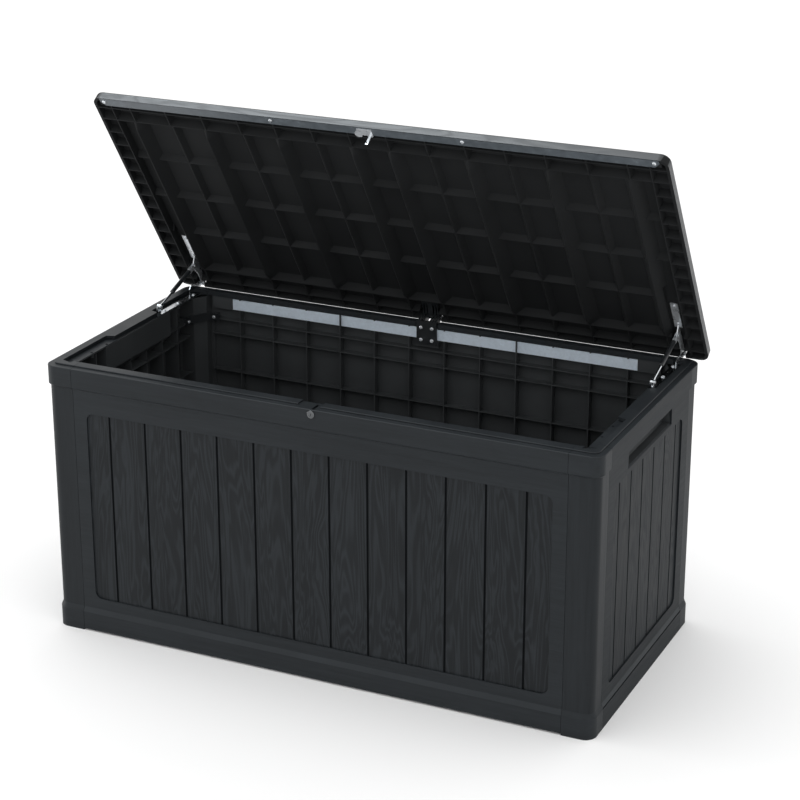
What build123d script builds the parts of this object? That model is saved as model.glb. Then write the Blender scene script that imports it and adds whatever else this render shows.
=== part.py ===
from build123d import *
import os
from math import atan2, cos, degrees, hypot, radians, sin

# A resin deck storage box with a lid held open by two gas struts.
# Millimetres, +X along the length, +Y to the hinged back, +Z up.
# The origin is on the ground under the middle of the walls. The lid stands open.

# Overall box
LENGTH = 1500.0
DEPTH = 730.0
RIM_Z = 728.0            # top of the rim's outer ledge
CORNER_R = 30.0
INSET = 5.5              # walls stand this far inside the rim and the skirt
HALF_L = LENGTH / 2
HALF_D = DEPTH / 2
FACE_X = HALF_L - INSET
FACE_Y = HALF_D - INSET

# Rim and skirt
BAND_Z = 678.0
SKIRT_Z = 53.6
SKIRT_BEVEL = 13.3
LIP_H = 4.0
LIP_INSET_X = 15.0
LIP_Y = (-346.5, 357.0)
MOUTH_X = 697.0          # inner edge of the rim on the ends
MOUTH_Y = (-319.0, 333.0)  # inner edge of the rim at the front and back
MOUTH_R = 22.0
RIM_PLATE = 4.0
RIM_FLANGE_Z = 719.0

# Walls
WALL = 7.6
SKIN_X = FACE_X - WALL
SKIN_Y = FACE_Y - WALL
RIB_X = 693.0            # plane of the rib edges on the end walls
RIB_Y = 330.0            # plane of the rib edges on the front and back walls
RIB_T = 2.6
RIB_LEVELS = (77.0, 184.0, 291.0, 398.0, 505.0, 612.0, 655.0)
RIB_FOOT_Z = 40.0
RIB_LAP = 15.0           # level ribs stop this far short of the seams
EDGE_R = 2.5             # rounding of the rim's outer edge
SEAM_X = 669.0           # joint between the long walls and the corner posts
SEAM_Y = 293.5           # joint between the end walls and the corner posts
SEAM = 0.8
RAISE_LONG = 5.0         # long walls stop this far above the ground
END_SLOT = (53.5, 56.5)  # gap between the base's end skirt and the end wall

# Floor and the feet under it
FLOOR_Z = (26.5, 29.5)
FLOOR_RIB_PITCH_X = 100.94
FLOOR_RIB_PITCH_Y = 110.0
FOOT_X = (-450.0, 0.0, 450.0)
FOOT_Y = (-220.0, 0.0, 220.0)
FOOT_HALF = 30.0

# Plank fields
FIELD_Z = (97.0, 613.0)
FIELD_HALF_X = 632.0
FIELD_HALF_Y = 250.0
FIELD_DEPTH = 4.0
FIELD_R = 20.0
PLANK_X = 103.0
PLANK_Y = 82.6
GROOVE_W = 6.0
GROOVE_DEPTH = 2.3

# Hand holds in the end walls
HOLD_HALF_Y = 160.0
HOLD_Z = (629.0, 668.0)
HOLD_DEPTH = 50.0
HOLD_WALL = 4.0
HOLD_LIP = 8.0
HOLD_SLOPE = 26.0
HOLD_BEVEL = 9.0         # fall of the bevel on the hand hold's lower edge

# Lid, measured with the lid closed: b runs from its front edge to the back
LID_HALF_L = 772.5
LID_FRONT_Y = -368.0
LID_DEPTH = 743.0
LID_UNDER_Z = 732.5
LID_T = 25.0
LID_SKIN = 4.5
LID_R = 25.0
LID_EDGE_R = 7.0
LID_WALL = 8.0
LID_TOP_Z = LID_UNDER_Z + LID_T
LID_FLOOR_Z = LID_TOP_Z - LID_SKIN
LID_ROWS = (77.0, 663.0)         # the deep cross ribs
LID_LOW_ROWS = (223.5, 370.0, 516.5)
LID_REAR_ROW = 711.0
LID_LOW = 7.5            # the low ribs stop this far short of the lid's lower plane
LID_FRONT_RIB = 35.0
LID_BEAM_FOOT = 24.0
LID_RIB_W = 3.0
LID_LOW_FOOT = 14.0
LID_DEEP_FOOT = 11.0
LID_CREST_DROP = 8.8
LID_CREST_RUN = 25.0
MARGIN_RIB_X = 724.5
SHORT_PITCH = 48.83
SHORT_CELLS = 13

# Hinge axis and the lid's opening angle
PIVOT_Y = 367.0
PIVOT_Z = 740.5
OPEN_DEG = 56.3
KNUCKLE_R = 7.0
PIN_R = 3.0
RUN_GAP = 0.05

# Gas struts, in the plane x = STRUT_X
STRUT_X = 700.0
STRUT_FOOT = (130.0, 741.0)
STRUT_HEAD_B = 653.3     # on the lid, measured as b and down from the top
STRUT_HEAD_T = 24.0
CYLINDER_R = 6.0
CYLINDER_BORE_R = 4.8
CYLINDER_REACH = 129.0   # from the strut's head back to the cylinder's mouth
CYLINDER_END = 30.0
FORK_SLOT = 22.0
PRONG_R = 7.0
ROD_R = 3.0
ROD_LENGTH = 118.0
EYE_R = 6.5
EYE_T = 6.0
RIVET_R = 3.6
RIVET_X = (3.75, 5.2)

# Side hinge brackets
CHANNEL_X = (684.0, 716.0)
CHANNEL_B = 480.0
REAR_CHANNEL_X = (695.0, 710.0)  # the channel narrows where it passes the lid's rear wall
REAR_CHANNEL_B = 704.0
PLATE_T = 2.5
WALL_PLATE_X = (690.0, 707.0)
WALL_PLATE_Y = (120.0, 314.0)
WALL_PLATE_Z = 721.5
WALL_SCREWS_Y = (147.0, 220.0, 303.0)
WALL_SCREW_X = 697.5
TRAY_END = 12.0          # slope at each end of the tray in the rim
TRAY_SHELF = 4.0
TRAY_BOSS_R = 4.5
TRAY_RING_R = 3.6
TRAY_RING_H = 1.4
ARM_X = (704.5, 707.0)
RECESS_X = 719.0
RECESS_Y = (116.0, 320.0)
SHELF_X = (691.5, 723.0)
LID_PLATE_B = (548.0, 642.0)
LID_PLATE_T = 2.0
FLANGE_X = (698.75, 701.25)
FLANGE_OUTLINE = (       # b and distance down from the lid's top
    (634, 4.5), (634, 7.5), (646.5, 23), (653.3, 31), (660, 30), (686, 23.5),
    (735, 23.5), (741.5, 19), (741.5, 12), (736, 7), (728, 4.5),
)
PRONG_X = ((696.25, 698.25), (701.75, 703.75))

# Centre hinge
BASE_HALF_X = 29.0
BASE_Y = (330.0, 336.0)
BASE_Z = (671.0, 736.0)
HINGE_NOTCH_X = 32.5
HINGE_SEAT_Z = 664.0
FIN_X = (9.0, 17.0, 25.0)
FIN_W = 4.0
BASE_SCREW_X = 16.0
BASE_SCREW_Z = (684.0, 718.0)
LEAF_HALF_X = 24.0
LEAF_B = (670.0, 702.0)
LEAF_T = 3.0
CENTRE_PIN_X = (6.5, 27.5)
LEAF_FIN_X = (-21.0, -13.0, 0.0, 13.0, 21.0)
LEAF_FIN_HALF = 1.7
LEAF_LUG_HALF = 6.2      # the wide middle lug of the leaf
REAR_NOTCH_X = 28.6      # the notch narrows where it passes the lid's rear wall
REAR_NOTCH_B = 706.0

# Reinforcing bars and braces
BAR_Y = 338.0
BAR_Z = (686.0, 716.0)
BAR_HALF_X = 591.0
PAD_X = (592.0, 654.0)   # plain pads beyond the ends of the bar
PAD_OVERHANG = 2.0
BAR_RIB_X = 257.5        # upright ribs that pass in front of the bar
BAR_RIB_GAP = 0.2
BRACE_Z = (648.0, 670.0)
BRACE_T = 3.0
BRACE_X = (632.0, 662.0, 648.0)  # end, bend and screw along the long wall
BRACE_Y = (246.0, 279.0, 262.0)  # end, bend and screw along the end wall
BOSS_HALF = 6.0
LID_BAR_B = (2.0, 25.5)
LID_BAR_HALF_X = 750.0
LID_BAR_T = 2.4
LID_BAR_SCREWS_X = (-738.0, -258.0, 258.0, 738.0)

# Lock
LOCK_X = 10.0
LOCK_Z = 716.0
LOCK_R = 10.2
LOCK_TUBE_R = 7.5
PLUG_R = 5.0
CAM_Y = (-346.0, -343.5)
CAM_REACH = 6.5
CAM_HALF = 3.5
CAM_HUB_R = 6.0
FINGER_R = 1.8
LOCK_SLOT_X = (8.0, 16.0)
LOCK_SLOT_Y = (-361.0, -328.0)
LOCK_SLOT_Z = 723.8
TONGUE_X = (9.0, 15.0)
TONGUE_Y = (-341.5, -339.0)
TONGUE_Z = 703.8
NOTCH_Z = (707.0, 712.5)
LIP_BREAK = (-34.0, 26.0)
CATCH_T = 2.4
CATCH_HALF_X = 20.0
CATCH_Y = (-363.0, -343.0)
CATCH_DISC = (-18.0, -345.0)
CATCH_DISC_R = 10.5
CATCH_SCREWS = ((-12.0, -356.0), (8.0, -356.0))
CATCH_SINK_R = 3.6
LOW_SCREW_R = 1.8

# Screws
SCREW_HEAD_R = 5.0
SCREW_HEAD_H = 2.8
SCREW_R = 2.0
SCREW_LENGTH = 9.0

nodes = {}


def block(x0, x1, y0, y1, z0, z1):
    centre = Pos((x0 + x1) / 2, (y0 + y1) / 2, (z0 + z1) / 2)
    return centre * Box(abs(x1 - x0), abs(y1 - y0), abs(z1 - z0))


def slab(half_x, half_y, z0, z1, radius):
    return extrude(Pos(0, 0, z0) * RectangleRounded(2 * half_x, 2 * half_y, radius), z1 - z0)


def prism_x(points, x0, x1):
    """A solid with its (y, z) outline swept from x0 to x1."""
    face = make_face(Polyline(*[(0, y, z) for y, z in points], close=True).edges())
    return extrude(Pos(min(x0, x1), 0, 0) * face, abs(x1 - x0), dir=(1, 0, 0))


def prism_z(points, z0, z1):
    face = make_face(Polyline(*[(x, y, 0) for x, y in points], close=True).edges())
    return extrude(Pos(0, 0, z0) * face, z1 - z0, dir=(0, 0, 1))


def rod_x(y, z, x0, x1, radius):
    return Pos((x0 + x1) / 2, y, z) * Rot(0, 90, 0) * Cylinder(radius, abs(x1 - x0))


def spaced(count, pitch):
    """Evenly spaced places centred on zero."""
    return [(i - (count - 1) / 2) * pitch for i in range(count)]


def joined(parts):
    total = parts[0]
    for part in parts[1:]:
        total = total + part
    return total


def screw(place):
    """A pan-head screw: the head stands on the place's XY plane, the shank goes down."""
    head = Cylinder(SCREW_HEAD_R, SCREW_HEAD_H, align=(Align.CENTER, Align.CENTER, Align.MIN))
    head = fillet(head.edges().group_by(Axis.Z)[-1], 2.0)
    slot = Pos(0, 0, SCREW_HEAD_H) * (Box(5.4, 1.1, 2.0) + Box(1.1, 5.4, 2.0))
    shank = Cylinder(SCREW_R, SCREW_LENGTH, align=(Align.CENTER, Align.CENTER, Align.MAX))
    return place * (head - slot + shank)


def screw_hole(place):
    return place * Pos(0, 0, -SCREW_LENGTH / 2) * Cylinder(SCREW_R, SCREW_LENGTH)


# ---------------------------------------------------------------- the walls

def outer_walls():
    """Walls, rim band and skirt as one ring, before it is parted at the seams."""
    ring = slab(FACE_X, FACE_Y, 0, RIM_Z, CORNER_R - INSET)
    band = Pos(0, 0, BAND_Z - INSET) * RectangleRounded(2 * FACE_X, 2 * FACE_Y, CORNER_R - INSET)
    ring += extrude(band, INSET, taper=-45)
    ring += slab(HALF_L, HALF_D, BAND_Z, RIM_Z, CORNER_R)
    ring += slab(HALF_L, HALF_D, 0, SKIRT_Z, CORNER_R)
    skirt = Pos(0, 0, SKIRT_Z) * RectangleRounded(LENGTH, DEPTH, CORNER_R)
    ring += extrude(skirt, SKIRT_BEVEL, taper=degrees(atan2(INSET, SKIRT_BEVEL)))
    ring = fillet(ring.edges().group_by(Axis.Z)[-1], EDGE_R)
    lip = slab(HALF_L - LIP_INSET_X, (LIP_Y[1] - LIP_Y[0]) / 2, RIM_Z, RIM_Z + LIP_H, CORNER_R - 12)
    lip = Pos(0, sum(LIP_Y) / 2, 0) * lip
    ring += chamfer(lip.edges().group_by(Axis.Z)[-1], 1.2)
    ring -= slab(SKIN_X, SKIN_Y, -1, RIM_FLANGE_Z, CORNER_R - INSET - WALL)
    hollow = slab(SKIN_X, SKIN_Y, RIM_FLANGE_Z - 1, RIM_Z - RIM_PLATE, CORNER_R - INSET - WALL)
    ring -= hollow - mouth(RIM_PLATE, 0)
    return ring - mouth(0, RIM_FLANGE_Z - 2)


def mouth(grow, z0):
    """The opening inside the rim; it stands nearer the back wall than the front."""
    half_y = (MOUTH_Y[1] - MOUTH_Y[0]) / 2 + grow
    y_mid = sum(MOUTH_Y) / 2
    return Pos(0, y_mid, 0) * slab(MOUTH_X + grow, half_y, z0, RIM_Z + LIP_H + 1, MOUTH_R + grow)


def plank_fields(ring):
    """Sunk plank fields with grooves on the long walls and on the ends."""
    z_mid = sum(FIELD_Z) / 2
    height = FIELD_Z[1] - FIELD_Z[0]
    for side in (-1, 1):
        plane = Plane((0, side * FACE_Y, z_mid), x_dir=(1, 0, 0), z_dir=(0, side, 0))
        ring -= extrude(plane * RectangleRounded(2 * FIELD_HALF_X, height, FIELD_R), -FIELD_DEPTH)
        y = side * (FACE_Y - FIELD_DEPTH)
        for x in spaced(12, PLANK_X):
            ring -= groove((x, y, z_mid), (1, 0, 0), (0, side, 0), height)
    for side in (-1, 1):
        plane = Plane((side * FACE_X, 0, z_mid), x_dir=(0, 1, 0), z_dir=(side, 0, 0))
        ring -= extrude(plane * RectangleRounded(2 * FIELD_HALF_Y, height, FIELD_R), -FIELD_DEPTH)
        x = side * (FACE_X - FIELD_DEPTH)
        for y in spaced(6, PLANK_Y):
            ring -= groove((x, y, z_mid), (0, 1, 0), (side, 0, 0), height)
    return ring


def groove(centre, across, outward, height):
    """An upright V groove between two planks."""
    plane = Plane(centre, x_dir=across, z_dir=outward)
    wide = plane * Rectangle(GROOVE_W, height)
    narrow = plane.offset(-GROOVE_DEPTH) * Rectangle(GROOVE_W / 3, height)
    return loft([wide, narrow], ruled=True)


def inner_ribs():
    """The upright and level ribs that stiffen the inside of every wall."""
    half = RIB_T / 2
    reach_x = SEAM_X - RIB_LAP
    reach_y = SEAM_Y - RIB_LAP
    parts = []
    for side in (-1, 1):
        long_wall = (side * RIB_Y, side * SKIN_Y)
        end_wall = (side * RIB_X, side * SKIN_X)
        for x in spaced(12, PLANK_X):
            parts.append(block(x - half, x + half, *long_wall, RIB_FOOT_Z, RIM_FLANGE_Z))
        for y in spaced(6, PLANK_Y):
            parts.append(block(*end_wall, y - half, y + half, RIB_FOOT_Z, RIM_FLANGE_Z))
        for z in RIB_LEVELS:
            parts.append(block(-reach_x, reach_x, *long_wall, z - half, z + half))
            parts.append(block(*end_wall, -reach_y, reach_y, z - half, z + half))
    return parts


def hand_hold(side, solid):
    """The scoop in an end wall: its housing when solid, else the hollow cut from it."""
    grow = HOLD_WALL if solid else 0
    outer = FACE_X - FIELD_DEPTH if solid else HALF_L + 1
    inner = FACE_X - HOLD_DEPTH - grow
    low = HOLD_Z[0] - grow
    top = RIM_FLANGE_Z - HOLD_WALL + grow
    back = [(inner, top), (inner, low + HOLD_SLOPE), (inner + HOLD_SLOPE, low)]
    if solid:
        front = [(outer, low), (outer, top)]
    else:
        step_x = FACE_X - HOLD_LIP
        front = [(step_x + HOLD_LIP / 2, low), (outer, low - HOLD_BEVEL), (outer, HOLD_Z[1]),
                 (step_x, HOLD_Z[1]), (step_x, top)]
    points = [(side * x, 0, z) for x, z in front + back]
    face = make_face(Polyline(*points, close=True).edges())
    half = HOLD_HALF_Y + grow
    return extrude(Pos(0, -half, 0) * face, 2 * half, dir=(0, 1, 0))


def hinge_recess(side, end):
    """The tray in the rim of an end wall that takes a hinge plate; all four are alike."""
    x0, x1 = MOUTH_X - 8, RECESS_X
    y0, y1 = RECESS_Y
    outline = [(x0, y0 - TRAY_END), (x1, y0), (x1, y1), (x0, y1 + TRAY_END)]
    points = [(side * x, end * y) for x, y in outline]
    return prism_z(points, WALL_PLATE_Z, RIM_Z + LIP_H + 1)


def recess_floor(side, end):
    """The shelf under a tray, with the screw bosses of the hinge plate."""
    x0, x1 = SHELF_X
    y0, y1 = RECESS_Y[0] - TRAY_END, SEAM_Y - 1
    shelf = block(side * x0, side * x1, end * y0, end * y1, WALL_PLATE_Z - TRAY_SHELF, WALL_PLATE_Z)
    for y in WALL_SCREWS_Y[:2]:
        shelf += Pos(side * WALL_SCREW_X, end * y, WALL_PLATE_Z - 8) * Cylinder(TRAY_BOSS_R, 10)
    return shelf


def tray_ring(side, y):
    """A raised ring round an unused screw hole in a front tray."""
    height = TRAY_RING_H + 1
    ring = Cylinder(TRAY_RING_R, height) - Cylinder(SCREW_R, height)
    return Pos(side * WALL_SCREW_X, -y, WALL_PLATE_Z + TRAY_RING_H - height / 2) * ring


def build_walls():
    ring = plank_fields(outer_walls())
    solids = inner_ribs()
    for side in (-1, 1):
        solids.append(hand_hold(side, True))
        for end in (-1, 1):
            solids.append(recess_floor(side, end))
    solids.append(block(-HINGE_NOTCH_X, HINGE_NOTCH_X, BASE_Y[1], SKIN_Y, HINGE_SEAT_Z, RIM_Z - RIM_PLATE))
    for side in (-1, 1):
        x0, x1 = PAD_X
        solids.append(block(side * x0, side * x1, BASE_Y[1], SKIN_Y + 1,
                            BAR_Z[0] - PAD_OVERHANG, BAR_Z[1] + PAD_OVERHANG))
    ring = ring + solids
    cuts = []
    for side in (-1, 1):
        cuts.append(hand_hold(side, False))
        for end in (-1, 1):
            cuts.append(hinge_recess(side, end))
    cuts.append(block(*LIP_BREAK, -HALF_D, MOUTH_Y[0] + 2, RIM_Z, RIM_Z + LIP_H + 1))
    cuts.append(block(*LOCK_SLOT_X, *LOCK_SLOT_Y, LOCK_SLOT_Z, RIM_Z + 1))
    cuts.append(Pos(LOCK_X, -HALF_D, LOCK_Z) * Rot(90, 0, 0) * Cylinder(LOCK_TUBE_R, 40))
    above = RIM_Z + LIP_H + 1
    cuts.append(block(-HINGE_NOTCH_X, HINGE_NOTCH_X, RIB_Y - 3, BASE_Y[1], HINGE_SEAT_Z, above))
    cuts.append(block(-HINGE_NOTCH_X, HINGE_NOTCH_X, RIB_Y - 3, HALF_D, RIM_Z, above))
    bar_end = BAR_HALF_X + BAR_RIB_GAP
    cuts.append(block(-bar_end, bar_end, RIB_Y - 3, BAR_Y, *BAR_Z))
    ring = ring - cuts
    bridges = []
    for side in (-1, 1):
        x = side * BAR_RIB_X
        bridges.append(block(x - RIB_T / 2, x + RIB_T / 2, RIB_Y, BASE_Y[1] - BAR_RIB_GAP,
                             BAR_Z[0] - 1, BAR_Z[1] + 1))
    return ring + bridges


def part_walls(ring):
    """Part the ring into four panels and four corner posts."""
    gap = SEAM / 2
    far = HALF_L + 10
    side_x = SEAM_X - gap
    side_y = SEAM_Y - gap
    nodes["front_panel"] = ring & block(-side_x, side_x, -far, -side_y, RAISE_LONG, far)
    nodes["back_panel"] = ring & block(-side_x, side_x, side_y, far, RAISE_LONG, far)
    nodes["left_end_panel"] = ring & block(-far, -side_x, -side_y, side_y, END_SLOT[1], far)
    nodes["right_end_panel"] = ring & block(side_x, far, -side_y, side_y, END_SLOT[1], far)
    for x_name, sx in (("left", -1), ("right", 1)):
        for y_name, sy in (("front", -1), ("rear", 1)):
            x0, y0 = SEAM_X + gap, SEAM_Y + gap
            post = ring & block(sx * x0, sx * far, sy * y0, sy * far, 0, far)
            nodes[f"{x_name}_{y_name}_post"] = post + corner_column(sx, sy)
    for name, side in (("left", -1), ("right", 1)):
        rings = [tray_ring(side, y) for y in WALL_SCREWS_Y]
        nodes[f"{name}_end_panel"] += rings[:2]
        nodes[f"{name}_front_post"] += rings[2:]


def corner_column(sx, sy):
    """The slanting inner wall of a corner post, its laps behind the panels and its shelf."""
    gap = SEAM / 2
    x0, y0 = SEAM_X + gap, SEAM_Y + gap
    top = RIM_FLANGE_Z - 3
    slant = [(x0, RIB_Y), (x0, RIB_Y - 4), (RIB_X, y0), (RIB_X + 4, y0), (RIB_X + 4, y0 + 2), (x0 + 3, RIB_Y)]
    laps = [
        block(sx * (SEAM_X - 12), sx * (x0 + 4), sy * (SKIN_Y - 3.4), sy * (SKIN_Y - 0.4), 60, 640),
        block(sx * (SKIN_X - 3.4), sx * (SKIN_X - 0.4), sy * (SEAM_Y - 12), sy * (y0 + 4), 60, 600),
        block(sx * x0, sx * (x0 + 3), sy * (RIB_Y - 2), sy * (SKIN_Y + 1), 6, top),
        block(sx * (RIB_X + 1), sx * (SKIN_X + 1), sy * y0, sy * (y0 + 3), 6, top),
        prism_z([(sx * x, sy * y) for x, y in slant], 6, top),
        block(sx * SHELF_X[0], sx * SHELF_X[1], sy * y0, sy * (RECESS_Y[1] + TRAY_END),
              WALL_PLATE_Z - TRAY_SHELF, WALL_PLATE_Z),
    ]
    return joined(laps)


def build_floor(ring):
    """The floor with its end skirts, which show below the end walls."""
    half = RIB_T / 2
    reach_x = SEAM_X - 1
    reach_y = SKIN_Y - 1
    top = FLOOR_Z[1]
    parts = [block(-reach_x, reach_x, -reach_y, reach_y, *FLOOR_Z)]
    for x in FOOT_X:
        for y in FOOT_Y:
            parts.append(block(x - FOOT_HALF, x + FOOT_HALF, y - FOOT_HALF, y + FOOT_HALF, 0, top))
    reach = SEAM_Y - SEAM / 2
    for side in (-1, 1):
        skirt = ring & block(side * (SKIN_X - 2), side * (HALF_L + 5), -reach, reach, 0, END_SLOT[0])
        parts.append(skirt)
        parts.append(block(side * (SEAM_X - 3), side * (SKIN_X + 1), -reach + 2, reach - 2, *FLOOR_Z))
    ribs = []
    for x in spaced(14, FLOOR_RIB_PITCH_X):
        ribs.append(block(x - half, x + half, -reach_y, reach_y, RAISE_LONG, top))
    for y in spaced(7, FLOOR_RIB_PITCH_Y):
        ribs.append(block(-reach_x, reach_x, y - half, y + half, RAISE_LONG, top))
    nodes["floor_panel"] = joined(parts) + ribs


# ---------------------------------------------------------------- the lid

def opened(part):
    """Swing a part drawn on the closed lid up to the open angle."""
    return part.rotate(Axis((0, PIVOT_Y, PIVOT_Z), (-1, 0, 0)), OPEN_DEG)


def lid_block(x0, x1, b0, b1, z0, z1):
    return block(x0, x1, LID_FRONT_Y + b0, LID_FRONT_Y + b1, z0, z1)


def lid_rib(start, end, foot, top_z, crest=LID_RIB_W / 2):
    """A straight drafted rib on the lid's underside between two (x, b) points."""
    (x0, b0), (x1, b1) = start, end
    along_x = abs(x1 - x0) > abs(b1 - b0)
    centre = ((x0 + x1) / 2, LID_FRONT_Y + (b0 + b1) / 2)
    long = abs(x1 - x0) if along_x else abs(b1 - b0)
    plane = Plane((*centre, LID_FLOOR_Z + 0.5), x_dir=(1, 0, 0), z_dir=(0, 0, -1))

    def section(level, half):
        size = (long, 2 * half) if along_x else (2 * half, long)
        return plane.offset(level) * Rectangle(*size)

    return loft([section(0, foot), section(LID_FLOOR_Z + 0.5 - top_z, crest)], ruled=True)


def lid_beam(x):
    """A deep rib with heavy draft; its crest ramps up to stand below the other ribs."""
    b0, b1 = LID_ROWS
    stations = [(b0, 0), (b0 + LID_CREST_RUN, LID_CREST_DROP), (b1 - LID_CREST_RUN, LID_CREST_DROP), (b1, 0)]
    sections = []
    for b, drop in stations:
        y = LID_FRONT_Y + b
        half = LID_RIB_W / 2
        corners = [(x - LID_BEAM_FOOT, LID_FLOOR_Z + 0.5), (x - half, LID_UNDER_Z - drop),
                   (x + half, LID_UNDER_Z - drop), (x + LID_BEAM_FOOT, LID_FLOOR_Z + 0.5)]
        sections.append(make_face(Polyline(*[(cx, y, cz) for cx, cz in corners], close=True).edges()))
    return loft(sections, ruled=True)


def lid_ribs():
    ribs = []
    side = LID_HALF_L - LID_WALL + 0.5
    low_z = LID_UNDER_Z + LID_LOW
    deep_z = LID_UNDER_Z
    back = LID_DEPTH - LID_WALL
    for b in LID_ROWS:
        ribs.append(lid_rib((-side, b), (side, b), LID_DEEP_FOOT, deep_z))
    ribs.append(lid_rib((-side, LID_REAR_ROW), (side, LID_REAR_ROW), LID_DEEP_FOOT / 2, deep_z))
    ribs.append(lid_rib((-side, LID_FRONT_RIB), (side, LID_FRONT_RIB), LID_RIB_W, deep_z))
    for b in LID_LOW_ROWS:
        ribs.append(lid_rib((-MARGIN_RIB_X, b), (MARGIN_RIB_X, b), LID_LOW_FOOT, low_z))
    for i, x in enumerate(spaced(14, PLANK_X)):
        ribs.append(lid_rib((x, LID_WALL), (x, LID_ROWS[0]), LID_RIB_W * 2, deep_z))
        ribs.append(lid_rib((x, LID_ROWS[1]), (x, back), LID_RIB_W * 2, deep_z))
        deep = i % 2 == (0 if x < 0 else 1)
        if deep:
            ribs.append(lid_beam(x))
        else:
            ribs.append(lid_rib((x, LID_ROWS[0]), (x, LID_ROWS[1]), LID_LOW_FOOT, low_z))
    for end in (-1, 1):
        x = end * MARGIN_RIB_X
        ribs.append(lid_rib((x, LID_WALL), (x, back), LID_DEEP_FOOT / 2, deep_z))
        for i in range(SHORT_CELLS + 1):
            b = LID_ROWS[0] + i * SHORT_PITCH
            ribs.append(lid_rib((x, b), (end * side, b), LID_DEEP_FOOT * 0.7, deep_z))
    return ribs


def build_lid():
    y_mid = LID_FRONT_Y + LID_DEPTH / 2
    shell = Pos(0, y_mid, 0) * slab(LID_HALF_L, LID_DEPTH / 2, LID_UNDER_Z, LID_TOP_Z, LID_R)
    shell = fillet(shell.faces().sort_by(Axis.Z)[-1].edges(), LID_EDGE_R)
    inner_x = LID_HALF_L - LID_WALL
    inner_y = LID_DEPTH / 2 - LID_WALL
    shell -= Pos(0, y_mid, 0) * slab(inner_x, inner_y, LID_UNDER_Z - 1, LID_FLOOR_Z, LID_R - LID_WALL)
    ledge = lid_block(-LID_BAR_HALF_X - 4, LID_BAR_HALF_X + 4, LID_WALL - 1, LID_BAR_B[1] + 1,
                      LID_UNDER_Z + LID_BAR_T, LID_FLOOR_Z + 1)
    shell = shell + (lid_ribs() + [ledge])
    bar_x = LID_BAR_HALF_X + 0.5
    below = LID_UNDER_Z - 20
    open_height = (below, LID_FLOOR_Z)
    cuts = [lid_block(-bar_x, bar_x, LID_BAR_B[0] - 0.5, LID_BAR_B[1] + 0.5, below, LID_UNDER_Z + LID_BAR_T)]
    for end in (-1, 1):
        x0, x1 = CHANNEL_X
        cuts.append(lid_block(end * x0, end * x1, CHANNEL_B, REAR_CHANNEL_B, *open_height))
        x0, x1 = REAR_CHANNEL_X
        cuts.append(lid_block(end * x0, end * x1, REAR_CHANNEL_B - 1, LID_DEPTH + 1, *open_height))
    notch_b = LID_ROWS[1] + LID_RIB_W / 2
    cuts.append(lid_block(-HINGE_NOTCH_X, HINGE_NOTCH_X, notch_b, REAR_NOTCH_B, *open_height))
    cuts.append(lid_block(-REAR_NOTCH_X, REAR_NOTCH_X, REAR_NOTCH_B - 1, LID_DEPTH + 1, *open_height))
    nodes["lid_panel"] = opened(shell - cuts)


def build_lid_metal():
    bar = lid_block(-LID_BAR_HALF_X, LID_BAR_HALF_X, *LID_BAR_B, LID_UNDER_Z, LID_UNDER_Z + LID_BAR_T)
    corners = bar.edges().filter_by(Axis.Z).group_by(Axis.Y)[-1]
    bar = chamfer(corners, 12)
    places = [Pos(x, LID_FRONT_Y + 12, LID_UNDER_Z) * Rot(180, 0, 0) for x in LID_BAR_SCREWS_X]
    holes = [screw_hole(place) for place in places]
    nodes["lid_front_bar"] = opened(bar - holes)
    nodes["lid_bar_screws"] = opened(Compound([screw(place) for place in places]))
    nodes["lid_panel"] -= [opened(hole) for hole in holes]


# ---------------------------------------------------------------- hinges

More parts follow.
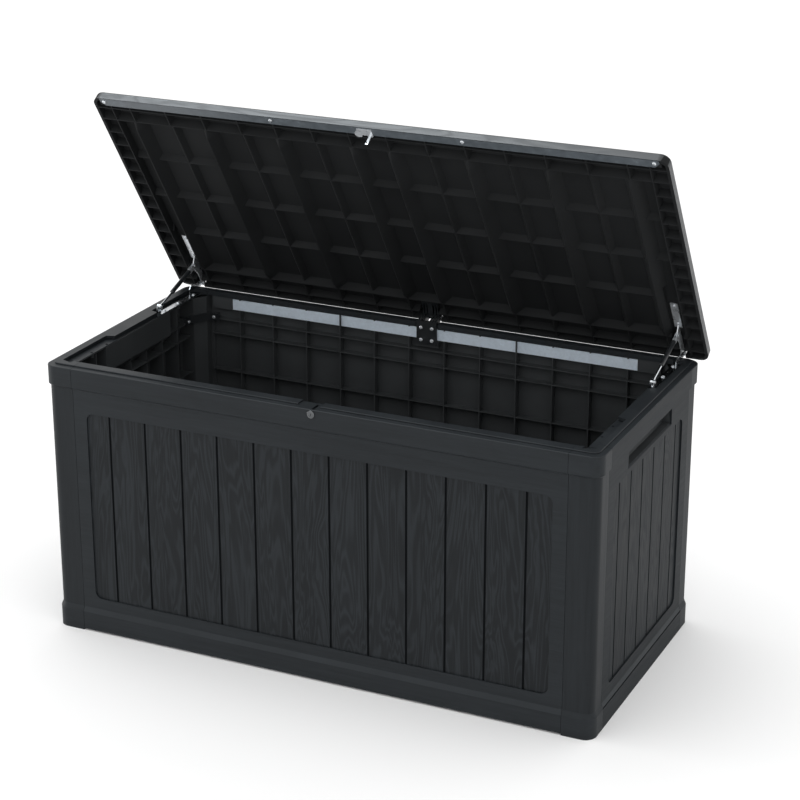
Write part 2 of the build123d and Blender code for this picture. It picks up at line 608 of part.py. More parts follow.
def build_side_hinge(name, side):
    """Wall bracket, lid bracket, their screws and pins, and the gas strut at one end."""
    pivot = (PIVOT_Y, PIVOT_Z)
    plate_top = WALL_PLATE_Z + PLATE_T
    plate = block(side * WALL_PLATE_X[0], side * WALL_PLATE_X[1], *WALL_PLATE_Y, WALL_PLATE_Z, plate_top)
    ear_y, ear_z = STRUT_FOOT
    arm_x = (side * ARM_X[0], side * ARM_X[1])
    through = (side * WALL_PLATE_X[0], side * RECESS_X)
    ear = prism_x([(ear_y - 9, WALL_PLATE_Z), (ear_y + 14, WALL_PLATE_Z),
                   (ear_y + EYE_R, ear_z), (ear_y - EYE_R, ear_z)], *arm_x)
    ear += rod_x(ear_y, ear_z, *arm_x, EYE_R)
    arm_y = WALL_PLATE_Y[1]
    arm = prism_x([(arm_y - 18, WALL_PLATE_Z), (arm_y, WALL_PLATE_Z), (arm_y + 2, RIM_Z + 7),
                   (PIVOT_Y - 10, RIM_Z + 8), (PIVOT_Y, PIVOT_Z - KNUCKLE_R),
                   (PIVOT_Y, PIVOT_Z + KNUCKLE_R), (PIVOT_Y - 20, RIM_Z + 21),
                   (arm_y - 8, RIM_Z + 21), (arm_y - 18, RIM_Z + 12)], *arm_x)
    arm += rod_x(*pivot, *arm_x, KNUCKLE_R)
    bracket = plate + ear + arm
    bracket -= rod_x(*STRUT_FOOT, *through, PIN_R)
    bracket -= rod_x(*pivot, *through, PIN_R + RUN_GAP)
    places = [Pos(side * WALL_SCREW_X, y, plate_top) for y in WALL_SCREWS_Y]
    holes = [screw_hole(place) for place in places]
    nodes[f"{name}_wall_bracket"] = bracket - holes
    nodes[f"{name}_wall_bracket_screws"] = Compound([screw(place) for place in places])
    nodes[f"{name}_end_panel"] -= holes[:2]
    nodes[f"{name}_rear_post"] -= holes[2:]

    pin = rod_x(*STRUT_FOOT, side * 695.5, side * (ARM_X[1] + 0.5), PIN_R)
    pin += rod_x(*STRUT_FOOT, side * 695.2, side * 696.6, PIN_R + 1.8)
    pin += rod_x(*STRUT_FOOT, side * (ARM_X[1]), side * (ARM_X[1] + 1.2), PIN_R + 1.2)
    nodes[f"{name}_strut_pin"] = pin

    hinge_pin = rod_x(*pivot, side * (FLANGE_X[0] - 0.8), side * (ARM_X[1] + 0.6), PIN_R)
    hinge_pin += rod_x(*pivot, side * (FLANGE_X[0] - 2.2), side * FLANGE_X[0], PIN_R + 2.5)
    hinge_pin += rod_x(*pivot, side * (ARM_X[1] + 0.4), side * (ARM_X[1] + 1.6), PIN_R + 2)
    nodes[f"{name}_hinge_pin"] = opened(hinge_pin)

    head_y = LID_FRONT_Y + STRUT_HEAD_B
    head_z = LID_TOP_Z - STRUT_HEAD_T
    plate = lid_block(side * CHANNEL_X[0] + side * 6, side * (CHANNEL_X[1] - 6), *LID_PLATE_B,
                      LID_FLOOR_Z - LID_PLATE_T, LID_FLOOR_Z)
    flange_x = (side * FLANGE_X[0], side * FLANGE_X[1])
    flange = prism_x([(LID_FRONT_Y + b, LID_TOP_Z - t) for b, t in FLANGE_OUTLINE], *flange_x)
    flange += rod_x(head_y, head_z, *flange_x, PRONG_R)
    flange += rod_x(*pivot, *flange_x, KNUCKLE_R)
    lid_bracket = plate + flange
    lid_bracket -= rod_x(*pivot, *through, PIN_R)
    places = [Pos(side * STRUT_X, LID_FRONT_Y + b, LID_FLOOR_Z - LID_PLATE_T) * Rot(180, 0, 0)
              for b in (LID_PLATE_B[0] + 10, LID_PLATE_B[1] - 14)]
    screws = [place * low_screw() for place in places]
    holes = [place * Pos(0, 0, -2.5) * Cylinder(1.8, 5) for place in places]
    nodes[f"{name}_lid_bracket"] = opened(lid_bracket - holes)
    nodes[f"{name}_lid_bracket_screws"] = opened(Compound(screws))
    nodes["lid_panel"] -= [opened(hole) for hole in holes]
    build_strut(name, side)


def low_screw():
    head = Cylinder(4.2, 2.0, align=(Align.CENTER, Align.CENTER, Align.MIN))
    head = fillet(head.edges().group_by(Axis.Z)[-1], 1.2)
    slot = Pos(0, 0, 2.0) * (Box(4.6, 1.0, 1.4) + Box(1.0, 4.6, 1.4))
    shank = Cylinder(1.8, LID_PLATE_T + LID_SKIN - 1.5, align=(Align.CENTER, Align.CENTER, Align.MAX))
    return head - slot + shank


def build_strut(name, side):
    """A gas strut drawn along its own axis, from its foot (0) to its head, then put in place."""
    theta = radians(OPEN_DEG)
    dy = LID_FRONT_Y + STRUT_HEAD_B - PIVOT_Y
    dz = LID_TOP_Z - STRUT_HEAD_T - PIVOT_Z
    head_y = PIVOT_Y + dy * cos(theta) + dz * sin(theta)
    head_z = PIVOT_Z - dy * sin(theta) + dz * cos(theta)
    foot_y, foot_z = STRUT_FOOT
    length = hypot(head_y - foot_y, head_z - foot_z)
    tilt = degrees(atan2(head_z - foot_z, head_y - foot_y))
    place = Pos(side * STRUT_X, foot_y, foot_z) * Rot(tilt, 0, 0)

    def tube(radius, start, end):
        return Pos(0, (start + end) / 2, 0) * Rot(90, 0, 0) * Cylinder(radius, end - start)

    eye = Rot(0, 90, 0) * Cylinder(EYE_R, EYE_T)
    rod = eye + tube(3.8, 5.2, 14) + tube(ROD_R, 10, ROD_LENGTH)
    rod += tube(CYLINDER_BORE_R - 0.05, ROD_LENGTH - 6, ROD_LENGTH)
    rod -= Rot(0, 90, 0) * Cylinder(PIN_R + RUN_GAP, 20)
    nodes[f"{name}_strut_rod"] = place * rod

    mouth_at = length - CYLINDER_REACH
    end_at = length - CYLINDER_END
    body = tube(CYLINDER_R, mouth_at, end_at + 2)
    body = chamfer(body.edges().filter_by(GeomType.CIRCLE), 0.8)
    body -= tube(CYLINDER_BORE_R, mouth_at + 5, end_at - 3)
    body -= tube(ROD_R + RUN_GAP, mouth_at - 1, mouth_at + 6)
    nodes[f"{name}_strut_cylinder"] = place * body

    neck = block(-3.75, 3.75, end_at + 2, length - FORK_SLOT, -PRONG_R, PRONG_R)
    fork = [neck]
    for x0, x1 in PRONG_X:
        a, b = x0 - STRUT_X, x1 - STRUT_X
        prong = block(a, b, end_at + 2, length, -PRONG_R, PRONG_R)
        prong += rod_x(length, 0, a, b, PRONG_R)
        fork.append(prong)
    for end in (-1, 1):
        fork.append(rod_x(length, 0, end * RIVET_X[0], end * RIVET_X[1], RIVET_R))
    nodes[f"{name}_strut_fork"] = place * joined(fork)


def build_centre_hinge():
    pivot = (PIVOT_Y, PIVOT_Z)
    base = block(-BASE_HALF_X, BASE_HALF_X, *BASE_Y, *BASE_Z)
    knuckle_low, knuckle_top = PIVOT_Z - KNUCKLE_R, PIVOT_Z + KNUCKLE_R
    fin_outline = [(BASE_Y[0], RIM_Z + 1), (PIVOT_Y - 8, RIM_Z + 1), (PIVOT_Y, knuckle_low),
                   (PIVOT_Y, knuckle_top), (PIVOT_Y - 8, knuckle_top), (BASE_Y[0], BASE_Z[1])]
    for x in [side * x for x in FIN_X for side in (-1, 1)]:
        width = (x - FIN_W / 2, x + FIN_W / 2)
        base += prism_x(fin_outline, *width) + rod_x(*pivot, *width, KNUCKLE_R)
    base -= rod_x(*pivot, -BASE_HALF_X - 1, BASE_HALF_X + 1, PIN_R + RUN_GAP)
    places = []
    for x in (-BASE_SCREW_X, BASE_SCREW_X):
        for z in BASE_SCREW_Z:
            places.append(Pos(x, BASE_Y[0], z) * Rot(90, 0, 0))
    holes = [screw_hole(place) for place in places]
    nodes["hinge_base"] = base - holes
    nodes["hinge_base_screws"] = Compound([screw(place) for place in places])
    nodes["back_panel"] -= holes

    leaf_face = LID_FLOOR_Z - LEAF_T
    fin_start = LID_FRONT_Y + LEAF_B[0] + 22
    leaf = lid_block(-LEAF_HALF_X, LEAF_HALF_X, *LEAF_B, leaf_face, LID_FLOOR_Z)
    fin_outline = [(fin_start, LID_FLOOR_Z), (fin_start, leaf_face - 1), (PIVOT_Y - 6, PIVOT_Z - 4),
                   (PIVOT_Y, knuckle_low), (PIVOT_Y + KNUCKLE_R, PIVOT_Z),
                   (PIVOT_Y + KNUCKLE_R - 3, PIVOT_Z + 9), (PIVOT_Y - 6, LID_FLOOR_Z)]
    for x in LEAF_FIN_X:
        half = LEAF_FIN_HALF if x else LEAF_LUG_HALF
        leaf += prism_x(fin_outline, x - half, x + half) + rod_x(*pivot, x - half, x + half, KNUCKLE_R)
    leaf -= rod_x(*pivot, -BASE_HALF_X, BASE_HALF_X, PIN_R)
    places = [Pos(x, LID_FRONT_Y + LEAF_B[0] + 10, leaf_face) * Rot(180, 0, 0)
              for x in (-BASE_SCREW_X, 0, BASE_SCREW_X)]
    leaf_screws = [place * low_screw() for place in places]
    holes = [place * Pos(0, 0, -3) * Cylinder(1.8, 6) for place in places]
    nodes["hinge_leaf"] = opened(leaf - holes)
    nodes["hinge_leaf_screws"] = opened(Compound(leaf_screws))
    nodes["lid_panel"] -= [opened(hole) for hole in holes]
    pins = [rod_x(*pivot, side * CENTRE_PIN_X[0], side * CENTRE_PIN_X[1], PIN_R) for side in (-1, 1)]
    nodes["hinge_centre_pins"] = opened(Compound(pins))


# ---------------------------------------------------------------- bars, braces and lock

def build_bars():
    nodes["back_stiffener"] = block(-BAR_HALF_X, BAR_HALF_X, BASE_Y[1], BAR_Y, *BAR_Z)
    braces = []
    screws = []
    z0, z1 = BRACE_Z
    z_mid = (z0 + z1) / 2
    x_in, x_bend, x_screw = BRACE_X
    y_in, y_bend, y_screw = BRACE_Y
    face_x, face_y = RIB_X - BRACE_T, RIB_Y - BRACE_T
    outline = [(x_in, RIB_Y), (x_bend, RIB_Y), (RIB_X, y_bend), (RIB_X, y_in), (face_x, y_in),
               (face_x, y_bend - BRACE_T / 2), (x_bend - BRACE_T / 2, face_y), (x_in, face_y)]
    for sx in (-1, 1):
        for sy in (-1, 1):
            brace = prism_z([(sx * x, sy * y) for x, y in outline], z0, z1)
            wall_place = Pos(sx * x_screw, sy * face_y, z_mid) * Rot(90 * sy, 0, 0)
            end_place = Pos(sx * face_x, sy * y_screw, z_mid) * Rot(0, -90 * sx, 0)
            for place in (wall_place, end_place):
                screws.append(screw(place))
                brace -= screw_hole(place)
            x_name = "left" if sx < 0 else "right"
            y_name = "front" if sy < 0 else "rear"
            nodes[f"{x_name}_{y_name}_brace"] = brace
            panel = "front_panel" if sy < 0 else "back_panel"
            boss_z = (z0 + BOSS_HALF - 1, z1 - BOSS_HALF + 1)
            boss = block(sx * (x_screw - BOSS_HALF), sx * (x_screw + BOSS_HALF),
                         sy * RIB_Y, sy * (SKIN_Y + 1), *boss_z)
            nodes[panel] = nodes[panel] + boss - screw_hole(wall_place)
            boss = block(sx * RIB_X, sx * (SKIN_X + 1),
                         sy * (y_screw - BOSS_HALF), sy * (y_screw + BOSS_HALF), *boss_z)
            end_panel = f"{x_name}_end_panel"
            nodes[end_panel] = nodes[end_panel] + boss - screw_hole(end_place)
    nodes["brace_screws"] = Compound(screws)


def build_lock():
    """A key lock in the front rim; its cam turns into the notch of the lid's tongue."""
    face_y = -HALF_D

    def barrel(radius, y0, y1, x=LOCK_X):
        return Pos(x, (y0 + y1) / 2, LOCK_Z) * Rot(90, 0, 0) * Cylinder(radius, abs(y1 - y0))

    flange = barrel(LOCK_R, face_y - 3, face_y)
    flange = fillet(flange.edges().filter_by(GeomType.CIRCLE).group_by(Axis.Y)[0], 1.8)
    housing = flange + barrel(LOCK_TUBE_R - 0.02, face_y, CAM_Y[0] - 1)
    nodes["lock_housing"] = housing - barrel(PLUG_R + RUN_GAP, face_y - 4, CAM_Y[0])

    plug = barrel(PLUG_R, face_y - 2.6, CAM_Y[0])
    key_slot = Pos(LOCK_X, face_y - 2.6, LOCK_Z) * Box(1.6, 4.0, 6.4)
    plug -= key_slot
    x_end = LOCK_X - CAM_REACH
    cam = barrel(CAM_HUB_R, *CAM_Y)
    cam += block(x_end, LOCK_X, *CAM_Y, LOCK_Z - CAM_HALF, LOCK_Z + CAM_HALF)
    cam += barrel(CAM_HALF, *CAM_Y, x_end)
    cam += barrel(FINGER_R, CAM_Y[1], TONGUE_Y[1] + 2, x_end)
    nodes["lock_plug"] = plug + cam

    plate_z = (LID_UNDER_Z - CATCH_T, LID_UNDER_Z)
    half = CATCH_HALF_X
    plate = block(-half, half, *CATCH_Y, *plate_z)
    plate += block(TONGUE_X[0] - 3, half, CATCH_Y[1] - 1, TONGUE_Y[1], *plate_z)
    plate += Pos(*CATCH_DISC, sum(plate_z) / 2) * Cylinder(CATCH_DISC_R, CATCH_T)
    tongue = block(*TONGUE_X, *TONGUE_Y, TONGUE_Z, plate_z[1])
    tongue -= block(TONGUE_X[0] - 1, TONGUE_X[1] - 2, TONGUE_Y[0] - 1, TONGUE_Y[1] + 1, *NOTCH_Z)
    catch = plate + tongue
    screws = []
    for x, y in CATCH_SCREWS:
        place = Pos(x, y, plate_z[0]) * Rot(180, 0, 0)
        sink = place * Pos(0, 0, -0.8) * Cylinder(CATCH_SINK_R, 1.6)
        shank = place * Pos(0, 0, -4.8) * Cylinder(LOW_SCREW_R, 6.4)
        catch -= [sink, shank]
        screws.append(place * Pos(0, 0, -0.9) * Cylinder(CATCH_SINK_R, 1.4) + shank)
        nodes["lid_panel"] -= opened(shank)
        nodes["lid_front_bar"] -= opened(shank)
    nodes["lid_catch"] = opened(catch)
    nodes["lid_catch_screws"] = opened(Compound(screws))


def main():
    ring = build_walls()
    part_walls(ring)
    build_floor(ring)
    build_lid()
    build_lid_metal()
    for name, side in (("left", -1), ("right", 1)):
        build_side_hinge(name, side)
    build_centre_hinge()
    build_bars()
    build_lock()
    os.makedirs("parts", exist_ok=True)
    for name, shape in nodes.items():
        export_step(shape, f"parts/{name}.step")


main()
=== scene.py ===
"""Looks of a resin deck storage box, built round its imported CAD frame. Metres."""

import math

import bpy
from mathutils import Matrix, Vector

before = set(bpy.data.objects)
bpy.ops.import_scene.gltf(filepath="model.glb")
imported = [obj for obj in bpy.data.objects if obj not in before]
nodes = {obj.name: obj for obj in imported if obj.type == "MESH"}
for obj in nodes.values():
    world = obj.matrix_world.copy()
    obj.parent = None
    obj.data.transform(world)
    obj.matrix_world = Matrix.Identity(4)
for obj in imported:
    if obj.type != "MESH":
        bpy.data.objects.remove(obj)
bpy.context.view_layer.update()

# Camera
CAMERA_AT = Vector((2.3102, -4.8060, 2.6391))
CAMERA_LOOK = Vector((-0.3944, 0.8484, -0.3531))
LENS = 100.5
SENSOR = 36.0
CLIP_END = 100.0

# Studio
WORLD_STRENGTH = 1.17
FLOOR_HALF = 30.0
FLOOR_GREY = 0.93
SHEEN_COLOUR = (0.86, 0.94, 1.0)

# Colours: a grey times a tint
FRAME_GREY = 0.0175
RESIN_TINT = (0.86, 1.0, 1.13)
INSIDE_TINT = (0.93, 1.0, 1.05)
UNDERSIDE_TINT = (0.95, 1.0, 1.04)
METAL_TINT = (0.96, 1.0, 1.04)
GALVANISED_TINT = (0.88, 1.0, 1.12)

# Wood grain: how far its tones lie from the base, its depth on walls and on the lid, and
# the waves and sharpness of its arched rings
GRAIN_CONTRAST = 0.35
GRAIN_DEPTH = 0.00035
LID_GRAIN_DEPTH = 0.00016
RING_WAVES = 95.0
RING_SHARPNESS = 2.0

# How far up a face's normal has to point
LEVEL = 0.5
SLOPED = 0.1

# Box: outer half sizes, then the limits that tell the faces of walls, posts and floor apart
HALF_L = 0.750
HALF_D = 0.365
SKIN_DEPTH = 0.0124
PLANK_DEPTH = 0.0075
GROOVE_DEPTH = 0.0098
SKIRT_DEPTH = 0.016
RIM_TOP = 0.7200
SKIRT_BEVEL_Z = (0.0530, 0.0672)
POST_Z = (0.067, 0.677)
FIELD_Z = (0.0965, 0.6135)
FIELD_X = 0.6325
FIELD_Y = 0.2505

# Lid: its hinge line and angle, then the limits of its underside, measured from the hinge
PIVOT = Vector((0.0, 0.367, 0.7405))
OPEN_ANGLE = math.radians(56.3)
LID_UP = Vector((0, math.sin(OPEN_ANGLE), math.cos(OPEN_ANGLE)))
LID_FORWARD = Vector((0, -math.cos(OPEN_ANGLE), math.sin(OPEN_ANGLE)))
UNDERSIDE_X = 0.7705
UNDERSIDE_FORWARD = (-0.003, 0.7335)
UNDERSIDE_UP = 0.0145

# Material slots of the painted nodes
PLANKS, RAILS, INSIDE, RIM, GROOVE = range(5)
PANEL_SLOTS = ("planks", "rails", "inside", "rim", "groove")
END_SLOTS = ("planks_end", "rails_end", "inside", "rim", "groove")
POST_SLOTS = ("posts", "rails", "inside", "rim")
OUTER, INNER = range(2)
FLOOR_SLOTS = ("rails_end", "inside")
LID_SLOTS = ("lid_top", "underside")

# Nodes of one material, by the end of their names; the first match counts
PLAIN_NODES = (
    ("_brace", "black"),
    ("_cylinder", "black"),
    ("hinge_base", "black"),
    ("hinge_leaf", "black"),
    ("_screws", "screw"),
    ("_pin", "screw"),
    ("_pins", "screw"),
    ("_wall_bracket", "steel"),
    ("_lid_bracket", "zinc"),
    ("_fork", "zinc"),
    ("_rod", "rod"),
    ("back_stiffener", "galvanised"),
    ("lid_front_bar", "bar"),
    # The lock takes chrome with a dark base, a painted dark reflection
    ("lock_housing", "chrome_painted_dark_reflection"),
    ("lock_plug", "chrome_painted_dark_reflection"),
    ("lid_catch", "chrome"),
)


# ---------------------------------------------------------------- node helpers

def grey(value, tint=RESIN_TINT):
    return tuple(value * channel for channel in tint)


class Graph:
    """A short way to write a material's node graph."""

    def __init__(self, name):
        self.material = bpy.data.materials.new(name)
        self.material.use_nodes = True
        self.tree = self.material.node_tree
        self.tree.nodes.clear()
        out = self.tree.nodes.new("ShaderNodeOutputMaterial")
        self.shader = self.tree.nodes.new("ShaderNodeBsdfPrincipled")
        self.feed(out.inputs["Surface"], self.shader.outputs[0])

    def add(self, kind, **values):
        node = self.tree.nodes.new(kind)
        for key, value in values.items():
            setattr(node, key, value)
        return node

    def feed(self, socket, value):
        """Link a socket to the output of another node, or give it a constant."""
        if isinstance(value, bpy.types.NodeSocket):
            self.tree.links.new(value, socket)
        else:
            socket.default_value = value

    def set(self, node, **values):
        """Feed the sockets of a node by name, with _ for a space."""
        for key, value in values.items():
            self.feed(node.inputs[key.replace("_", " ")], value)

    def math(self, operation, *values):
        node = self.add("ShaderNodeMath", operation=operation)
        for socket, value in zip(node.inputs, values):
            self.feed(socket, value)
        return node.outputs[0]

    def blend(self, a, share, b):
        """A share of a, and the rest b."""
        return self.math("ADD", self.math("MULTIPLY", a, share), self.math("MULTIPLY", b, 1 - share))

    def coordinates(self):
        return self.add("ShaderNodeTexCoord").outputs["Object"]

    def stretched(self, axis, factor):
        """Coordinates scaled along one axis, so that a pattern runs long in it."""
        scale = [1.0, 1.0, 1.0]
        scale["xyz".index(axis)] = factor
        mapping = self.add("ShaderNodeMapping")
        self.set(mapping, Vector=self.coordinates(), Scale=scale)
        return mapping.outputs[0]

    def noise(self, vector, scale, detail, roughness, distortion=0.0):
        node = self.add("ShaderNodeTexNoise")
        self.set(node, Vector=vector, Scale=scale, Detail=detail)
        self.set(node, Roughness=roughness, Distortion=distortion)
        return node.outputs["Fac"]

    def ramp(self, value, stops):
        """A colour for a value, from pairs of place and colour."""
        node = self.add("ShaderNodeValToRGB")
        self.feed(node.inputs[0], value)
        elements = node.color_ramp.elements
        while len(elements) < len(stops):
            elements.new(0.5)
        for element, (place, colour) in zip(elements, stops):
            element.position = place
            element.color = (*colour, 1.0)
        return node.outputs[0]

    def span(self, value, low, high, new_low, new_high):
        """The value moved from one range to another, held inside it."""
        node = self.add("ShaderNodeMapRange", clamp=True)
        for socket, number in zip(node.inputs, (value, low, high, new_low, new_high)):
            self.feed(socket, number)
        return node.outputs[0]

    def bump(self, height, distance, strength):
        node = self.add("ShaderNodeBump")
        self.set(node, Height=height, Distance=distance, Strength=strength)
        return node.outputs[0]


# ---------------------------------------------------------------- materials

def wood_grain(name, along, base, cathedral=0.0, depth=GRAIN_DEPTH, roughness=0.5, specular=0.13):
    """Dark moulded resin with wood grain along one axis; cathedral is the share of arched rings."""
    g = Graph(name)
    fine = g.noise(g.stretched(along, 0.045), scale=520.0, detail=3.0, roughness=0.6)
    streak = g.noise(g.stretched(along, 0.03), scale=130.0, detail=5.0, roughness=0.6, distortion=0.3)
    broad = g.noise(g.stretched(along, 0.12), scale=16.0, detail=3.0, roughness=0.5, distortion=0.6)
    grain = g.blend(fine, 0.45, streak)
    if cathedral:
        wave = g.math("SINE", g.math("MULTIPLY", broad, RING_WAVES))
        wave = g.math("ADD", g.math("MULTIPLY", wave, 0.5), 0.5)
        rings = g.math("POWER", wave, RING_SHARPNESS)
        grain = g.blend(rings, cathedral, grain)
    low, high = base * (1 - GRAIN_CONTRAST), base * (1 + GRAIN_CONTRAST)
    stops = [(0.30, grey(low)), (0.52, grey(base)), (0.74, grey(high))]
    g.set(
        g.shader,
        Base_Color=g.ramp(g.blend(grain, 0.75, broad), stops),
        Specular_IOR_Level=specular,
        Roughness=g.span(grain, 0.3, 0.7, roughness - 0.07, roughness + 0.09),
        Normal=g.bump(grain, distance=depth, strength=0.8),
    )
    return g.material


def smooth_resin(name, base, roughness, specular, tint=RESIN_TINT):
    """The plain side of the resin: faint mottling and a fine moulded texture."""
    g = Graph(name)
    where = g.coordinates()
    mottle = g.noise(where, scale=9.0, detail=4.0, roughness=0.55)
    pores = g.noise(where, scale=900.0, detail=2.0, roughness=0.5)
    stops = [(0.3, grey(base * 0.9, tint)), (0.7, grey(base * 1.12, tint))]
    g.set(
        g.shader,
        Base_Color=g.ramp(mottle, stops),
        Specular_IOR_Level=specular,
        Roughness=g.span(mottle, 0.3, 0.7, roughness - 0.06, roughness + 0.06),
        Normal=g.bump(pores, distance=0.00006, strength=0.6),
    )
    return g.material


def powder_coat(name, base):
    """Paint with orange peel, and painted sheen in lighter patches."""
    g = Graph(name)
    where = g.coordinates()
    peel = g.noise(where, scale=700.0, detail=2.0, roughness=0.5)
    sheen_patches = g.noise(where, scale=60.0, detail=5.0, roughness=0.6)
    # The lighter stops are painted sheen, spread in random patches
    stops = [(0.35, grey(base)), (0.62, grey(base * 1.25)), (0.78, grey(base * 2.2))]
    g.set(
        g.shader,
        Base_Color=g.ramp(sheen_patches, stops),
        Specular_IOR_Level=0.5,
        Roughness=g.span(sheen_patches, 0.3, 0.8, 0.32, 0.5),
        Normal=g.bump(peel, distance=0.00005, strength=0.5),
    )
    return g.material


def plated(name, base, roughness, along="x", brushed=0.4, metallic=1.0):
    """Plated metal with brushed lines along one axis; brushed is their share of the pattern."""
    g = Graph(name)
    lines = g.noise(g.stretched(along, 0.02), scale=900.0, detail=3.0, roughness=0.6)
    cloud = g.noise(g.coordinates(), scale=40.0, detail=4.0, roughness=0.6)
    mix = g.blend(lines, brushed, cloud)
    stops = [(0.3, grey(base * 0.82, METAL_TINT)), (0.7, grey(base * 1.1, METAL_TINT))]
    g.set(
        g.shader,
        Base_Color=g.ramp(mix, stops),
        Metallic=metallic,
        Roughness=g.span(mix, 0.3, 0.7, roughness * 0.8, roughness * 1.25),
        Normal=g.bump(lines, distance=0.00003, strength=0.4),
    )
    return g.material


def galvanised(name):
    """Zinc sheet with spangle cells under a haze."""
    g = Graph(name)
    where = g.coordinates()
    cells = g.add("ShaderNodeTexVoronoi", feature="F1")
    g.set(cells, Vector=where, Scale=160.0)
    haze = g.noise(where, scale=30.0, detail=4.0, roughness=0.6)
    mix = g.blend(cells.outputs["Color"], 0.4, haze)
    stops = [(0.25, grey(0.66, GALVANISED_TINT)), (0.75, grey(0.76, GALVANISED_TINT))]
    g.set(
        g.shader,
        Base_Color=g.ramp(mix, stops),
        Metallic=0.25,
        Roughness=g.span(mix, 0.2, 0.8, 0.38, 0.55),
    )
    return g.material


MATERIALS = {
    "planks": wood_grain("resin_planks", "z", FRAME_GREY, cathedral=0.45),
    "planks_end": wood_grain("resin_planks_end", "z", FRAME_GREY, cathedral=0.3, specular=0.06),
    "rails": wood_grain("resin_rails", "x", FRAME_GREY * 1.15),
    "rails_end": wood_grain("resin_rails_end", "y", FRAME_GREY * 1.05, specular=0.06),
    "posts": wood_grain("resin_posts", "z", FRAME_GREY * 1.02),
    "lid_top": wood_grain("resin_lid_top", "x", FRAME_GREY * 1.3, cathedral=0.3,
                          depth=LID_GRAIN_DEPTH, roughness=0.40, specular=0.5),
    # Groove bottoms take a near-black resin: painted shade in the grooves between planks
    "groove": smooth_resin("resin_groove_painted_shade", 0.006, roughness=0.7, specular=0.03),
    # Rim tops and the skirt bevel take a smooth resin lighter than the walls: the smooth finish is
    # real, the lighter grey is painted light on faces that face up
    "rim": smooth_resin("resin_rim_painted_light", FRAME_GREY * 1.35, roughness=0.45, specular=0.14),
    "inside": smooth_resin("resin_inside", 0.046, roughness=0.55, specular=0.10, tint=INSIDE_TINT),
    "underside": smooth_resin("resin_underside", 0.0165, roughness=0.6, specular=0.04,
                              tint=UNDERSIDE_TINT),
    "black": powder_coat("black_powder_coat", 0.012),
    "bar": powder_coat("bar_paint", 0.075),
    "zinc": plated("bright_zinc", 0.74, roughness=0.28, brushed=0.3, metallic=0.7),
    "steel": plated("bright_steel", 0.55, roughness=0.24, along="y"),
    "galvanised": galvanised("galvanised_sheet"),
    "screw": plated("zinc_screw", 0.80, roughness=0.26, brushed=0.2, metallic=0.65),
    "chrome": plated("bright_chrome", 0.88, roughness=0.16, brushed=0.1, metallic=0.6),
    # Chrome with a dark base: a painted dark reflection on the lock
    "chrome_painted_dark_reflection": plated("chrome_painted_dark_reflection", 0.12, roughness=0.14, brushed=0.1),
    "rod": plated("hard_chrome_rod", 0.7, roughness=0.14, along="y"),
}


# ---------------------------------------------------------------- finishes of the CAD nodes

def assign(node, *names):
    mesh = nodes[node].data
    mesh.materials.clear()
    for name in names:
        mesh.materials.append(MATERIALS[name])


def paint_faces(node, names, choose):
    """Give each face of a node the material slot that choose returns for it."""
    assign(node, *names)
    for face in nodes[node].data.polygons:
        face.material_index = choose(face)


def wall_face(face, side_axis, field, outer):
    """The slot for a face of a wall that runs along side_axis."""
    centre, normal = face.center, face.normal
    across, depth = (centre.x, centre.y) if side_axis == "x" else (centre.y, centre.x)
    across, depth = abs(across), abs(depth)
    # Rim tops that face up take the lighter rim resin, as painted light
    if centre.z > RIM_TOP and normal.z > LEVEL:
        return RIM
    if depth < outer - SKIN_DEPTH and centre.z < RIM_TOP:
        return INSIDE
    # The skirt's upward bevel takes the lighter rim resin: a painted highlight line
    if normal.z > SLOPED and SKIRT_BEVEL_Z[0] < centre.z < SKIRT_BEVEL_Z[1]:
        return RIM
    in_field = across < field and FIELD_Z[0] < centre.z < FIELD_Z[1]
    if not in_field or depth > outer - PLANK_DEPTH:
        return RAILS
    # Faces deep in the grooves take the near-black groove resin, as painted shade
    return GROOVE if depth < outer - GROOVE_DEPTH else PLANKS


def front_or_back_face(face):
    return wall_face(face, "x", FIELD_X, HALF_D)


def end_face(face):
    return wall_face(face, "y", FIELD_Y, HALF_L)


def post_face(face):
    """The slot for a face of a corner post, whose shaft takes the first one."""
    centre = face.center
    # Post tops that face up take the lighter rim resin, as painted light
    if centre.z > RIM_TOP and face.normal.z > LEVEL:
        return RIM
    inner = abs(centre.x) < HALF_L - SKIN_DEPTH and abs(centre.y) < HALF_D - SKIN_DEPTH
    if inner and centre.z < RIM_TOP:
        return INSIDE
    return PLANKS if POST_Z[0] <= centre.z <= POST_Z[1] else RAILS


def floor_face(face):
    """The slot for a face of the floor: outer on the skirts of its flanges."""
    return OUTER if abs(face.center.x) > HALF_L - SKIRT_DEPTH else INNER


def lid_face(face):
    """The slot for a face of the lid: outer for the grained top and edges."""
    from_hinge = face.center - PIVOT
    forward = from_hinge.dot(LID_FORWARD)
    beside = abs(face.center.x) > UNDERSIDE_X
    past_ends = forward < UNDERSIDE_FORWARD[0] or forward > UNDERSIDE_FORWARD[1]
    return OUTER if beside or past_ends or from_hinge.dot(LID_UP) > UNDERSIDE_UP else INNER


def paint():
    for side in ("front", "back"):
        paint_faces(side + "_panel", PANEL_SLOTS, front_or_back_face)
    for side in ("left", "right"):
        paint_faces(side + "_end_panel", END_SLOTS, end_face)
        for end in ("front", "rear"):
            paint_faces(side + "_" + end + "_post", POST_SLOTS, post_face)
    paint_faces("floor_panel", FLOOR_SLOTS, floor_face)
    paint_faces("lid_panel", LID_SLOTS, lid_face)
    for node in nodes:
        for ending, material in PLAIN_NODES:
            if node.endswith(ending):
                assign(node, material)
                break


# ---------------------------------------------------------------- floor, light and camera

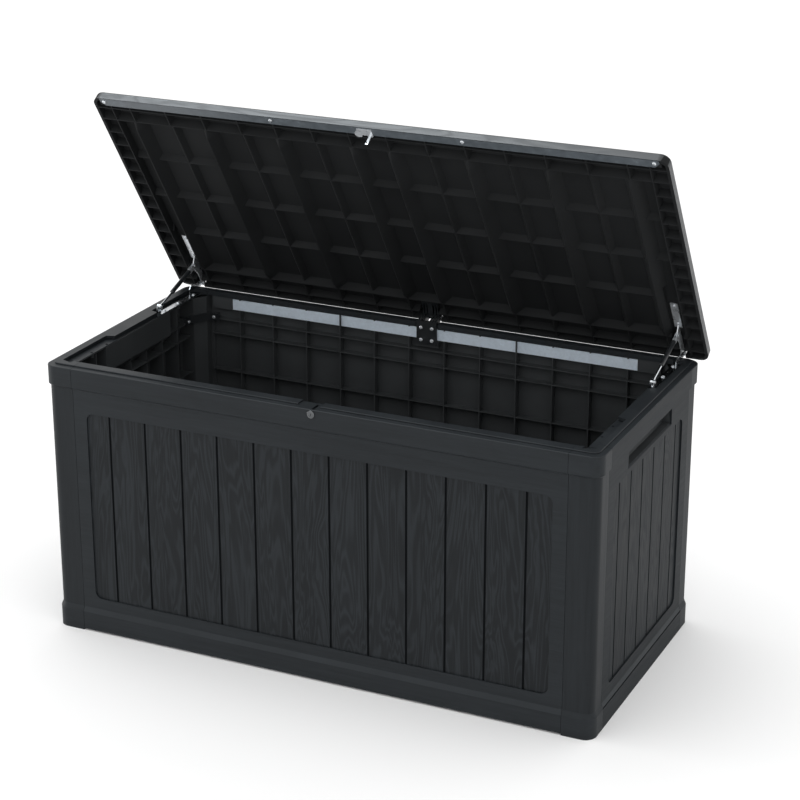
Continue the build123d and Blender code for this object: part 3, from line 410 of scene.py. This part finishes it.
def place(name, data, at, direction):
    """Add a light or camera that looks along a direction."""
    item = bpy.data.objects.new(name, data)
    item.location = at
    item.rotation_euler = direction.to_track_quat("-Z", "Y").to_euler()
    bpy.context.scene.collection.objects.link(item)
    return item


def build_floor():
    mesh = bpy.data.meshes.new("studio_floor")
    corners = [(x * FLOOR_HALF, y * FLOOR_HALF, 0) for x, y in ((-1, -1), (1, -1), (1, 1), (-1, 1))]
    mesh.from_pydata(corners, [], [(0, 1, 2, 3)])
    floor = bpy.data.objects.new("studio_floor", mesh)
    bpy.context.scene.collection.objects.link(floor)
    g = Graph("studio_floor")
    colour = (*grey(FLOOR_GREY, (1.0, 1.0, 1.0)), 1.0)
    g.set(g.shader, Base_Color=colour, Roughness=0.9, Specular_IOR_Level=0.1)
    mesh.materials.append(g.material)


def area_light(name, at, aim, size, power):
    """A rectangular light, its power in watts."""
    data = bpy.data.lights.new(name, "AREA")
    data.shape = "RECTANGLE"
    data.size, data.size_y = size
    data.energy = power
    return place(name, data, at, Vector(aim) - Vector(at))


def build_lights():
    world = bpy.data.worlds.new("studio_world")
    bpy.context.scene.world = world
    world.use_nodes = True
    background = world.node_tree.nodes["Background"]
    background.inputs["Color"].default_value = (1.0, 1.0, 1.0, 1.0)
    background.inputs["Strength"].default_value = WORLD_STRENGTH
    area_light("overhead", at=(-1.0, -0.4, 5.4), aim=(0, 0, 0.6), size=(3.0, 3.0), power=30)
    area_light("side", at=(-5.0, -1.3, 0.5), aim=(0, 0, 0.9), size=(1.6, 1.6), power=75)
    # The sheen shows only as a reflection on rims and lid edges
    sheen = area_light("sheen", at=(-2.3, -0.1, 5.4), aim=(0, 0, 0.9), size=(3.4, 2.6), power=175)
    sheen.data.color = SHEEN_COLOUR
    sheen.visible_diffuse = False


def build_camera():
    data = bpy.data.cameras.new("camera")
    data.lens = LENS
    data.sensor_width = SENSOR
    data.clip_end = CLIP_END
    bpy.context.scene.camera = place("camera", data, CAMERA_AT, CAMERA_LOOK)
    bpy.context.scene.view_settings.view_transform = "Standard"


paint()
build_floor()
build_lights()
build_camera()
bpy.context.view_layer.update()
